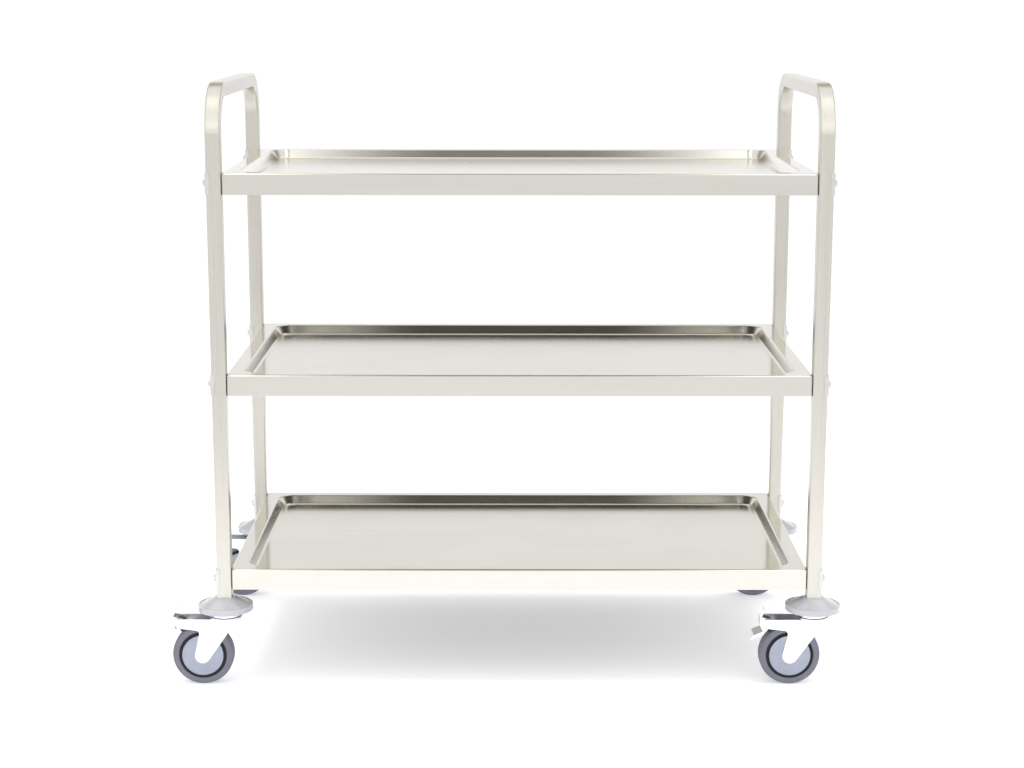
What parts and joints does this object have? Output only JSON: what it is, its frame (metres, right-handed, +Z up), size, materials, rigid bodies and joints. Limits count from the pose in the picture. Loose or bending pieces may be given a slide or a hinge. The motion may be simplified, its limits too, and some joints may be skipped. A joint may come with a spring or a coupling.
{
  "type": "service trolley",
  "caption": "Stainless steel service trolley with dished trays between bent tube end frames, on swivel casters with foot brakes and bumper discs.",
  "frame": {"origin": "on the floor under the middle of the two end frames", "axes": "+X along the trolley from the left end frame to the right one, +Y to the back, +Z up"},
  "size_m": [1.0702, 0.5642, 0.942],
  "materials": {
    "stainless_tube": "satin brushed stainless tube",
    "stainless_sheet": "brushed stainless sheet",
    "stainless_fastener": "plain stainless",
    "zinc_steel": "bright zinc plated pressed steel",
    "bearing_steel": "polished",
    "grey_plastic": "moulded light grey",
    "black_plastic": "moulded black",
    "grey_rubber": "non-marking grey rubber"
  },
  "bodies": {
    "trolley": {"left_end_frame": "stainless_tube", "right_end_frame": "stainless_tube", "bottom_tray": "stainless_sheet", "middle_tray": "stainless_sheet", "top_tray": "stainless_sheet", "saddle_plates": "stainless_sheet", "tray_bolts": "stainless_fastener", "tray_washers": "stainless_fastener", "tray_nuts": "stainless_fastener", "stem_inserts": "zinc_steel", "kingpin_nuts": "zinc_steel", "front_left_bumper_disc": "grey_plastic", "front_left_caster_stem": "zinc_steel", "front_right_bumper_disc": "grey_plastic", "front_right_caster_stem": "zinc_steel", "rear_left_bumper_disc": "grey_plastic", "rear_left_caster_stem": "zinc_steel", "rear_right_bumper_disc": "grey_plastic", "rear_right_caster_stem": "zinc_steel"},
    "front_left_swivel": {"front_left_fork": "zinc_steel", "front_left_swivel_balls": "bearing_steel", "front_left_wheel_axle": "zinc_steel", "front_left_thread_guards": "zinc_steel", "front_left_pedal_pin": "zinc_steel"},
    "front_left_wheel": {"front_left_wheel_core": "black_plastic", "front_left_tyre": "grey_rubber", "front_left_wheel_bearings": "bearing_steel"},
    "front_left_pedal": {"front_left_brake_pedal": "zinc_steel", "front_left_brake_shoe": "black_plastic"},
    "front_right_swivel": {"front_right_fork": "zinc_steel", "front_right_swivel_balls": "bearing_steel", "front_right_wheel_axle": "zinc_steel", "front_right_thread_guards": "zinc_steel", "front_right_pedal_pin": "zinc_steel"},
    "front_right_wheel": {"front_right_wheel_core": "black_plastic", "front_right_tyre": "grey_rubber", "front_right_wheel_bearings": "bearing_steel"},
    "front_right_pedal": {"front_right_brake_pedal": "zinc_steel", "front_right_brake_shoe": "black_plastic"},
    "rear_left_swivel": {"rear_left_fork": "zinc_steel", "rear_left_swivel_balls": "bearing_steel", "rear_left_wheel_axle": "zinc_steel", "rear_left_thread_guards": "zinc_steel", "rear_left_pedal_pin": "zinc_steel"},
    "rear_left_wheel": {"rear_left_wheel_core": "black_plastic", "rear_left_tyre": "grey_rubber", "rear_left_wheel_bearings": "bearing_steel"},
    "rear_left_pedal": {"rear_left_brake_pedal": "zinc_steel", "rear_left_brake_shoe": "black_plastic"},
    "rear_right_swivel": {"rear_right_fork": "zinc_steel", "rear_right_swivel_balls": "bearing_steel", "rear_right_wheel_axle": "zinc_steel", "rear_right_thread_guards": "zinc_steel", "rear_right_pedal_pin": "zinc_steel"},
    "rear_right_wheel": {"rear_right_wheel_core": "black_plastic", "rear_right_tyre": "grey_rubber", "rear_right_wheel_bearings": "bearing_steel"},
    "rear_right_pedal": {"rear_right_brake_pedal": "zinc_steel", "rear_right_brake_shoe": "black_plastic"}
  },
  "joints": [
    {"name": "front_left_swivel_turn", "type": "hinge", "parent": "trolley", "child": "front_left_swivel", "pos_m": [-0.4636, -0.2386, 0.112], "axis": [0, 0, 1], "continuous": true},
    {"name": "front_left_wheel_spin", "type": "hinge", "parent": "front_left_swivel", "child": "front_left_wheel", "pos_m": [-0.4996, -0.2386, 0.048], "axis": [0, 1, 0], "continuous": true},
    {"name": "front_left_pedal_rock", "type": "hinge", "parent": "front_left_swivel", "child": "front_left_pedal", "pos_m": [-0.5341, -0.2386, 0.1], "axis": [0, -1, 0], "range_deg": [0, 22]},
    {"name": "front_right_swivel_turn", "type": "hinge", "parent": "trolley", "child": "front_right_swivel", "pos_m": [0.4636, -0.2386, 0.112], "axis": [0, 0, 1], "continuous": true},
    {"name": "front_right_wheel_spin", "type": "hinge", "parent": "front_right_swivel", "child": "front_right_wheel", "pos_m": [0.4276, -0.2386, 0.048], "axis": [0, 1, 0], "continuous": true},
    {"name": "front_right_pedal_rock", "type": "hinge", "parent": "front_right_swivel", "child": "front_right_pedal", "pos_m": [0.3931, -0.2386, 0.1], "axis": [0, -1, 0], "range_deg": [0, 22]},
    {"name": "rear_left_swivel_turn", "type": "hinge", "parent": "trolley", "child": "rear_left_swivel", "pos_m": [-0.4636, 0.2386, 0.112], "axis": [0, 0, 1], "continuous": true},
    {"name": "rear_left_wheel_spin", "type": "hinge", "parent": "rear_left_swivel", "child": "rear_left_wheel", "pos_m": [-0.4996, 0.2386, 0.048], "axis": [0, 1, 0], "continuous": true},
    {"name": "rear_left_pedal_rock", "type": "hinge", "parent": "rear_left_swivel", "child": "rear_left_pedal", "pos_m": [-0.5341, 0.2386, 0.1], "axis": [0, -1, 0], "range_deg": [0, 22]},
    {"name": "rear_right_swivel_turn", "type": "hinge", "parent": "trolley", "child": "rear_right_swivel", "pos_m": [0.4636, 0.2386, 0.112], "axis": [0, 0, 1], "continuous": true},
    {"name": "rear_right_wheel_spin", "type": "hinge", "parent": "rear_right_swivel", "child": "rear_right_wheel", "pos_m": [0.4276, 0.2386, 0.048], "axis": [0, 1, 0], "continuous": true},
    {"name": "rear_right_pedal_rock", "type": "hinge", "parent": "rear_right_swivel", "child": "rear_right_pedal", "pos_m": [0.3931, 0.2386, 0.1], "axis": [0, -1, 0], "range_deg": [0, 22]}
  ]
}
